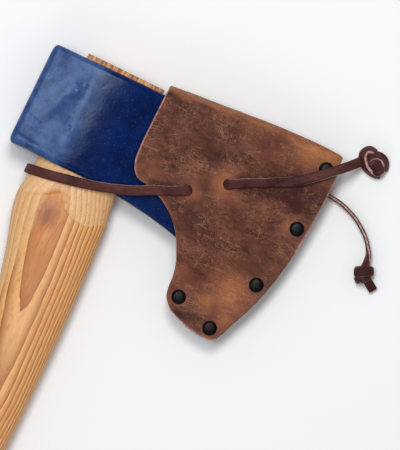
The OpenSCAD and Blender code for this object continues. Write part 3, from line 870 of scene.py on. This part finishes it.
def leather_shell(thickness, material, edge, flesh):
    """One folded piece of leather: two panels joined over the top, with bevelled raw edges."""
    sheet = folded_sheet()
    rows, columns = sheet.shape[:2]
    normal = unit(np.cross(np.gradient(sheet, axis=1), np.gradient(sheet, axis=0)))
    flat = sheet.reshape(-1, 3)
    if normal[PANEL_ROWS // 2, columns // 2, 2] < 0:
        normal = -normal
    wave = (rough(flat, 34, 2.2) * 0.55 + rough(flat, 12, 9.1) * 0.22).reshape(rows, columns)
    held = held_flat(sheet[..., 0], sheet[..., 1])
    outer = sheet + normal * ((wave + 0.2) * (1 - held) - 0.1 * held)[..., None]
    sheet = outer - normal * thickness
    chamfer, rim = 0.8, 0.6
    trimmed = outer.copy()
    trimmed[0] += unit(outer[1] - outer[0]) * chamfer
    trimmed[-1] += unit(outer[-2] - outer[-1]) * chamfer
    trimmed[:, 0] += unit(outer[:, 1] - outer[:, 0]) * chamfer
    trimmed[:, -1] += unit(outer[:, -2] - outer[:, -1]) * chamfer
    lip = (outer - normal * rim).reshape(-1, 3)
    count = rows * columns
    cell = np.arange(count).reshape(rows, columns)
    a, b, c, d = cell[:-1, :-1], cell[:-1, 1:], cell[1:, 1:], cell[1:, :-1]
    outside = np.stack([a, b, c, d], axis=-1).reshape(-1, 4)
    inside = outside[:, ::-1] + count
    loop = np.r_[cell[0, :], cell[1:, -1], cell[-1, -2::-1], cell[-2:0:-1, 0]]
    following = np.roll(loop, -1)
    lip_index = 2 * count + np.arange(len(loop))
    lip_next = np.roll(lip_index, -1)
    bevel = np.stack([loop, lip_index, lip_next, following], axis=-1)
    wall = np.stack([lip_index, loop + count, following + count, lip_next], axis=-1)
    points = np.r_[trimmed.reshape(-1, 3), sheet.reshape(-1, 3), lip[loop]]
    faces = np.r_[outside, inside, bevel, wall]
    indices = np.r_[np.full(len(outside), 0), np.full(len(inside), 2), np.full(len(bevel) + len(wall), 1)]
    points[:, 2] += MID_Z
    made = new_object("sheath", points, faces.tolist(), [material, edge, flesh], indices)
    tidy_normals(made)
    return made


def tidy_normals(piece):
    """Turns all faces of a closed piece outwards."""
    mesh = bmesh.new()
    mesh.from_mesh(piece.data)
    bmesh.ops.recalc_face_normals(mesh, faces=mesh.faces)
    mesh.to_mesh(piece.data)
    mesh.free()


def paint_wear_and_shade(piece):
    """Stores how rubbed or bent the leather is at each point, less dark bands and painted lace shade on the
    top face, for its material.
    """
    count = len(piece.data.vertices)
    points = np.empty(count * 3)
    piece.data.vertices.foreach_get("co", points)
    points = points.reshape(-1, 3) / MM
    x, y, z = points.T
    fold_y = np.interp(x, *zip(*FOLD_LINE))
    wobble = rough(points, 14, 4.4)
    from_fold = fold_y - y
    width = np.interp(x, [30, 110, 122, 154], [6, 7, 12, 14]) + 3 * wobble
    wear_and_shade = 0.62 * smooth((width - from_fold) / 5)
    for sx, sy, r, amount in TAN_SPOTS:
        near = np.exp(-(np.hypot(x - sx, y - sy) / r) ** 2 * (1 + 0.5 * wobble))
        wear_and_shade = np.maximum(wear_and_shade, amount * near)
    wear_and_shade += 0.1 * smooth((-62 - y) / 10)
    outline = LEFT_EDGE[2:] + BOTTOM_EDGE + RIGHT_EDGE[::-1]
    rim = line_distance(x, y, outline)
    wear_and_shade += (0.3 - 0.2 * smooth((x - 110) / 20)) * smooth((1.7 - rim + 0.7 * wobble) / 1.2)
    # Dark bands lower the value on the top face only; the two beside the laces are painted shade.
    for line, r, amount in DARK_AND_SHADE_BANDS:
        wear_and_shade -= amount * np.exp(-(line_distance(x, y, line) / r) ** 2) * (z > MID_Z)
    store(piece, wear_and_shade)


def store(piece, values, name="wear_and_shade"):
    """Keeps a value at each point of a piece for its material to read."""
    attribute = piece.data.attributes.new(name, "FLOAT", "POINT")
    attribute.data.foreach_set("value", np.asarray(values, np.float32))


def hole_tool(spot, radius, material):
    """A punch that goes through both panels."""
    angle = np.linspace(0, 2 * math.pi, 40, endpoint=False)
    rings = []
    for z, r in ((-5, radius + 0.5), (MID_Z, radius), (2 * MID_Z + 5, radius + 0.5)):
        rings += [(spot[0] + r * math.cos(a), spot[1] + r * math.sin(a), z) for a in angle]
    punch = new_object("punch", rings, ring_faces(3, len(angle)), [material])
    tidy_normals(punch)
    return punch


# ---- laces and knots ----


def strap(name, route, width, thickness, used, spacing=0.9, rounded=False, rubbed=0.05, bevel=LACE_BEVEL):
    """A flat lace swept along route; its narrow sides are raw edges, and its end may be cut round."""
    route = np.array(route, float)
    length = np.linalg.norm(np.diff(route[:, :3], axis=0), axis=1).sum()
    line = along(route, max(8, int(length / spacing)))
    centre, across = line[:, :3], line[:, 3:6]
    tangent = unit(np.gradient(centre, axis=0))
    across = unit(across - (across * tangent).sum(1, keepdims=True) * tangent)
    up = np.cross(tangent, across)
    w, t, b = width / 2, thickness / 2, thickness * bevel
    section = [
        (w - b, t), (w * 0.45, t + 0.08), (0, t + 0.1), (-w * 0.45, t + 0.08), (b - w, t),
        (-w, t - b), (-w, b - t), (b - w, -t), (-w * 0.45, -t), (0, -t), (w * 0.45, -t),
        (w - b, -t), (w, b - t), (w, t - b),
    ]
    count = len(section)
    left = length - np.linspace(0, length, len(centre))
    narrow = np.ones(len(centre))
    if rounded:
        narrow = np.sqrt(np.clip(1 - np.clip(1 - left / w, 0, 0.94) ** 2, 0, 1))
    points = np.concatenate([centre + across * (s * narrow)[:, None] + up * h for s, h in section])
    points = points.reshape(count, len(centre), 3).transpose(1, 0, 2)
    sway = rough(centre, 15, 6.6)[:, None, None] * across[:, None, :] * 0.25
    points = (points + sway).reshape(-1, 3)
    points += rough(points, 3.2, 8.8)[:, None] * 0.12 * np.repeat(up, count, axis=0)
    faces = ring_faces(len(centre), count)
    narrow_sides = (5, 12)
    indices = [int(k % count in narrow_sides) for k in range(len(faces) - 2)] + [1, 1]
    made = new_object(name, points, faces, used, indices)
    tidy_normals(made)
    # Stored value: random tone plus the rubbed offset; a negative offset darkens the strap, which on the
    # front knot's core is painted shade.
    store(made, 0.25 * rough(points, 11, 1.9) + rubbed)
    return made


def joined(name, parts):
    """Joins mesh objects into one."""
    mesh = bmesh.new()
    for part in parts:
        mesh.from_mesh(part.data)
    made = from_editable(name, mesh)
    for material in parts[0].data.materials:
        made.data.materials.append(material)
    for part in parts:
        bpy.data.objects.remove(part)
    return made


def flipped(route):
    """A route carried to the other side of the sheath."""
    return [(x, y, 2 * MID_Z - z, ax, ay, -az) for x, y, z, ax, ay, az in route]


def ring_route(centre, axis, reach, rise, turns, start, pitch, lift):
    """A wrap round a knot's middle: reach across the axis, rise upwards, the flat side along the axis."""
    a = math.radians(axis)
    along_axis = np.array([math.cos(a), math.sin(a), 0])
    side = np.array([-math.sin(a), math.cos(a), 0])
    upward = np.array([0, 0, 1.0])
    flat = unit(along_axis + upward * lift)
    route = []
    for t in np.linspace(0, turns, max(6, int(turns * 20))):
        angle = math.radians(start) + 2 * math.pi * t
        p = np.array(centre) + side * reach * math.cos(angle) + upward * rise * math.sin(angle)
        route.append((*(p + along_axis * pitch * (t - turns / 2)), *flat))
    return route


# ---- settings ----


def colour_setting(name, description, r, g, b):
    """A colour setting, whose default is given as it looks on a screen."""
    return bpy.props.FloatVectorProperty(
        name=name, description=description, default=rgb(r, g, b)[:3],
        subtype="COLOR", size=3, min=0, max=1,
    )


def length_setting(name, description, default, low, high):
    """A length setting, given in millimetres and kept in metres."""
    return bpy.props.FloatProperty(
        name=name, description=description, default=default * MM,
        subtype="DISTANCE", min=low * MM, max=high * MM,
    )


class AxeLook(bpy.types.PropertyGroup):
    """Colours and fine measures of the finishes."""

    paint_light: colour_setting("Paint, worn", "Head lacquer where it is thin", 4, 30, 84)
    paint_dark: colour_setting("Paint, full", "Head lacquer where it is thick", 1, 17, 62)
    wood_light: colour_setting("Ash, early wood", "Pale wood between the rings", 228, 174, 112)
    wood_dark: colour_setting("Ash, ring line", "Dark line of each ring", 146, 82, 38)
    leather_tan: colour_setting("Leather, rubbed", "Sheath leather where it is bent or rubbed", 184, 124, 74)
    first_ring: length_setting("First ring", "Radius of the ash's first growth ring", 9.5, 2, 30)


class AxeSizes(bpy.types.PropertyGroup):
    """Thicknesses and widths."""

    leather: length_setting("Leather", "Thickness of the sheath's leather", LEATHER_T, 1, 5)
    lace_width: length_setting("Lace width", "Width of the flat lace", LACE_W, 3, 10)
    lace_thickness: length_setting("Lace thickness", "Thickness of the flat lace", LACE_T, 1, 4)
    cap_width: length_setting("Rivet cap", "Diameter of a rivet's cap", CAP_D, 5, 14)


# ---- operators, in the order they run ----


class AXE_OT_stage(bpy.types.Operator):
    """Sets up the camera, the floor and the lights"""

    bl_idname = "axe.stage"
    bl_label = "Stage"

    TURN = math.radians(26)
    LOOK_AT = (87.0, -29.9, 24.0)
    LENS = 600
    SENSOR = 36
    TALL = 292.5
    FLOOR_HALF = 6000
    FLOOR_Z = -0.3
    SKY = 0.4
    LIGHTS = [
        ("key", (-110, 430, 1500), 460, 11.2, (1.0, 0.99, 0.975)),
        ("poll softbox", (-200, -20, 1500), 380, 6.5, (0.9, 0.95, 1.0)),
        ("low fill", (300, -1100, 900), 800, 1.8, (1, 1, 1)),
    ]

    def execute(self, context):
        scene = context.scene
        data = bpy.data.cameras.new("camera")
        data.lens = self.LENS
        data.sensor_width = self.SENSOR
        data.clip_start = 0.05
        data.clip_end = 20
        camera = placed("camera", data)
        distance = self.TALL * self.LENS / self.SENSOR
        camera.location = (Vector(self.LOOK_AT) + Vector((0, 0, distance))) * MM
        camera.rotation_euler = (0, 0, self.TURN)
        scene.camera = camera
        corners = [(x, y, self.FLOOR_Z) for x, y in ((-1, -1), (1, -1), (1, 1), (-1, 1))]
        corners = np.array(corners) * (self.FLOOR_HALF, self.FLOOR_HALF, 1)
        floor = new_object("floor", corners, [(0, 1, 2, 3)], [floor_material()])
        for name, place_mm, size, power, colour in self.LIGHTS:
            light = bpy.data.lights.new(name, "AREA")
            light.shape = "DISK"
            light.size = size * MM
            light.energy = power
            light.color = colour
            lamp = placed(name, light)
            lamp.location = Vector(place_mm) * MM
            aim = Vector(self.LOOK_AT) * MM - lamp.location
            lamp.rotation_euler = aim.to_track_quat("-Z", "Y").to_euler()
        world = bpy.data.worlds.new("studio")
        world.use_nodes = True
        sky = world.node_tree.nodes["Background"].inputs
        sky["Color"].default_value = (1, 1, 1, 1)
        sky["Strength"].default_value = self.SKY
        scene.world = world
        scene.view_settings.view_transform = "Standard"
        return {"FINISHED"}


class AXE_OT_laces(bpy.types.Operator):
    """Makes the lace: the loop round the handle, its two bridges and its two tails with their knots"""

    bl_idname = "axe.laces"
    bl_label = "Laces"

    def execute(self, context):
        sizes = context.scene.axe_sizes
        used = materials(context.scene.axe_look)
        lace = [used["lace"], used["lace_edge"]]
        w, t = sizes.lace_width / MM, sizes.lace_thickness / MM
        under = ring_route(
            (170, 56.4, 3.4), axis=20, reach=5.4, rise=2.2, turns=1.1, start=215, pitch=1.2, lift=0.1,
        )
        front_knot = joined("end_knot_front", [
            strap("neck", KNOT_NECK, w * 0.96, t * 0.96, lace, KNOT_STEP),
            strap("turn", KNOT_RING, w * 0.95, t, lace, KNOT_STEP, bevel=0.16),
            strap("over", KNOT_OVER, w * 0.85, t, lace, KNOT_STEP, bevel=0.18),
            strap("under", under, w * 1.35, t, lace, KNOT_STEP),
            # The core under the ring is darkened by a negative rubbed offset, as painted shade in the knot's
            # hollow.
            strap("core", KNOT_CORE, w * 1.35, t, lace, KNOT_STEP, rubbed=-0.4),
            strap("end", KNOT_END, w * 1.3, t, lace, 0.5, rounded=True),
        ])
        wrap = ring_route(
            (196.4, -10.4, 6.3), axis=-63, reach=5.2, rise=4.6, turns=1.2, start=205, pitch=1.0, lift=0.2,
        )
        under = ring_route(
            (197.6, -14.6, 5.2), axis=-40, reach=4.0, rise=3.8, turns=1.15, start=60, pitch=1.4, lift=0.25,
        )
        # The rear knot's straps are set darker all over by a negative rubbed offset.
        turns = (("wrap", wrap, 0.95), ("under", under, 0.8), ("end", REAR_KNOT_END, 0.92))
        rear_knot = joined("end_knot_rear", [
            strap(name, route, w * share, t, lace, KNOT_STEP, rubbed=-0.6) for name, route, share in turns
        ])
        for knot, node in ((front_knot, "lace_knot_front"), (rear_knot, "lace_knot_rear")):
            settle(knot, "sheath", "lace_leather", node)
        tails = (
            ("lace_tail_front", FRONT_START, FRONT_TAIL, FRONT_END, front_knot),
            ("lace_tail_rear", [], REAR_TAIL, REAR_END, rear_knot),
        )
        for node, start, route, end, knot in tails:
            tail = strap(node.replace("lace", "loose"), start + route[len(start) and 1:] + end, w, t, lace)
            settle(tail, "sheath", "lace_leather", node)
            path = along(route, 28)[:, :3] * MM
        refinish("lace_bridge_front", used["lace"])
        refinish("lace_bridge_rear", used["lace"])
        near_side = LOOP_TOP + LOOP_BACK
        loop = strap("handle_loop", near_side + flipped(near_side)[::-1][1:], w, t, lace)
        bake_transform(loop)
        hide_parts("lace_loop")
        return {"FINISHED"}


class AXE_OT_head(bpy.types.Operator):
    """Makes the painted head with its eye"""

    bl_idname = "axe.head"
    bl_label = "Head"

    def execute(self, context):
        head = head_mesh(materials(context.scene.axe_look)["head"])
        cut(head, eye_tool())
        head.data.shade_smooth()
        settle(head, "axe", "head_paint", "axe_head")
        return {"FINISHED"}


class AXE_OT_handle(bpy.types.Operator):
    """Makes the handle and finishes its two wedges"""

    bl_idname = "axe.handle"
    bl_label = "Handle"

    def execute(self, context):
        used = materials(context.scene.axe_look)
        handle = handle_mesh(used["wood"])
        for node, finish in (("wood_wedge", "wood"), ("steel_wedge", "steel")):
            cut(handle, from_editable(node + "_slot", solid_of(node)))
            refinish(node, used[finish])
        handle.data.shade_smooth()
        settle(handle, "axe", "handle_wood", "handle")
        return {"FINISHED"}


class AXE_OT_sheath(bpy.types.Operator):
    """Makes the folded leather sheath and finishes its welt"""

    bl_idname = "axe.sheath"
    bl_label = "Sheath"

    def execute(self, context):
        used = materials(context.scene.axe_look)
        thickness = context.scene.axe_sizes.leather / MM
        sheath = leather_shell(thickness, used["leather"], used["edge"], used["flesh"])
        for spot in HOLE_PLACES:
            cut(sheath, hole_tool(spot, HOLE_R, used["edge"]))
        sheath.data.shade_smooth()
        paint_wear_and_shade(sheath)
        settle(sheath, "sheath", "sheath_leather", "sheath_leather")
        refinish("sheath_welt", used["flesh"])
        return {"FINISHED"}


class AXE_OT_rivets(bpy.types.Operator):
    """Sets a domed cap on every rivet, on both sides of the sheath"""

    bl_idname = "axe.rivets"
    bl_label = "Rivets"

    def execute(self, context):
        used = materials(context.scene.axe_look)
        sizes = {"Radius": context.scene.axe_sizes.cap_width / 2, "Height": CAP_H * MM, "Middle": MID_Z * MM}
        base = new_object("rivet_caps_set", RIVETS, [], [])
        tree = rivet_tree(used["rivet"])
        modifier = base.modifiers.new("rivets", "NODES")
        modifier.node_group = tree
        for socket in tree.interface.items_tree:
            if socket.in_out == "INPUT" and socket.name in sizes:
                modifier[socket.identifier] = sizes[socket.name]
        result = bpy.data.meshes.new_from_object(base.evaluated_get(context.evaluated_depsgraph_get()))
        base.modifiers.clear()
        base.data = result
        tidy_normals(base)
        base.data.shade_smooth()
        settle(base, "sheath", "rivet_black", "rivet_caps")
        refinish("rivet_posts", used["rivet"])
        return {"FINISHED"}


def rivet_tree(material):
    """A node tree that sets a domed cap on each point, facing away from the middle plane."""
    tree = bpy.data.node_groups.new("rivet caps", "GeometryNodeTree")
    face = tree.interface
    face.new_socket("Geometry", in_out="INPUT", socket_type="NodeSocketGeometry")
    for name in ("Radius", "Height", "Middle"):
        face.new_socket(name, in_out="INPUT", socket_type="NodeSocketFloat")
    face.new_socket("Geometry", in_out="OUTPUT", socket_type="NodeSocketGeometry")
    start = tree.nodes.new("NodeGroupInput").outputs
    radius, height, middle = start["Radius"], start["Height"], start["Middle"]
    ball = make(tree, "GeometryNodeMeshUVSphere", {
        "Segments": 40, "Rings": 22, "Radius": 1.0,
    }).outputs["Mesh"]
    spot = make(tree, "GeometryNodeInputPosition").outputs[0]
    x, y, z = make(tree, "ShaderNodeSeparateXYZ", {0: spot}).outputs
    squares = [maths(tree, "MULTIPLY", side, side) for side in (x, y)]
    out = maths(tree, "SQRT", maths(tree, "ADD", *squares))
    fall = maths(tree, "SUBTRACT", 1.0, maths(tree, "POWER", out, 3.2), clamp=True)
    dome = maths(tree, "POWER", fall, 0.42)
    tall = maths(tree, "MULTIPLY", dome, maths(tree, "GREATER_THAN", z, 1e-4))
    lifted = maths(tree, "MULTIPLY_ADD", tall, height, maths(tree, "MULTIPLY", height, -0.5))
    shape = make(tree, "ShaderNodeCombineXYZ", {
        "X": maths(tree, "MULTIPLY", x, radius), "Y": maths(tree, "MULTIPLY", y, radius), "Z": lifted,
    }).outputs[0]
    cap = make(tree, "GeometryNodeSetPosition", {"Geometry": ball, "Position": shape}).outputs[0]
    under = maths(tree, "LESS_THAN", z, middle)
    turned = make(tree, "ShaderNodeCombineXYZ", {"X": maths(tree, "MULTIPLY", under, math.pi)}).outputs[0]
    points = make(tree, "GeometryNodeMeshToPoints", {"Mesh": start["Geometry"]}).outputs[0]
    caps = make(tree, "GeometryNodeInstanceOnPoints", {
        "Points": points, "Instance": cap, "Rotation": turned,
    }).outputs[0]
    real = make(tree, "GeometryNodeRealizeInstances", {"Geometry": caps}).outputs[0]
    painted = make(tree, "GeometryNodeSetMaterial", {"Geometry": real, "Material": material}).outputs[0]
    make(tree, "NodeGroupOutput", {"Geometry": painted})
    return tree


class AXE_PT_panel(bpy.types.Panel):
    """Lists the pieces and their settings"""

    bl_idname = "AXE_PT_panel"
    bl_label = "Felling axe"
    bl_space_type = "VIEW_3D"
    bl_region_type = "UI"
    bl_category = "Axe"

    def draw(self, context):
        for group in (context.scene.axe_look, context.scene.axe_sizes):
            for name in group.bl_rna.properties.keys():
                if name not in ("rna_type", "name"):
                    self.layout.prop(group, name)
        for operator in OPERATORS:
            self.layout.operator(operator.bl_idname)


OPERATORS = (AXE_OT_stage, AXE_OT_laces, AXE_OT_head, AXE_OT_handle, AXE_OT_sheath, AXE_OT_rivets)
CLASSES = (AxeLook, AxeSizes, *OPERATORS, AXE_PT_panel)


def register():
    for made in CLASSES:
        bpy.utils.register_class(made)
    bpy.types.Scene.axe_look = bpy.props.PointerProperty(type=AxeLook)
    bpy.types.Scene.axe_sizes = bpy.props.PointerProperty(type=AxeSizes)


def unregister():
    del bpy.types.Scene.axe_sizes
    del bpy.types.Scene.axe_look
    for made in reversed(CLASSES):
        bpy.utils.unregister_class(made)


def main():
    """Makes everything in order."""
    register()
    for operator in OPERATORS:
        group, name = operator.bl_idname.split(".")
        getattr(getattr(bpy.ops, group), name)()


if __name__ == "__main__":
    main()
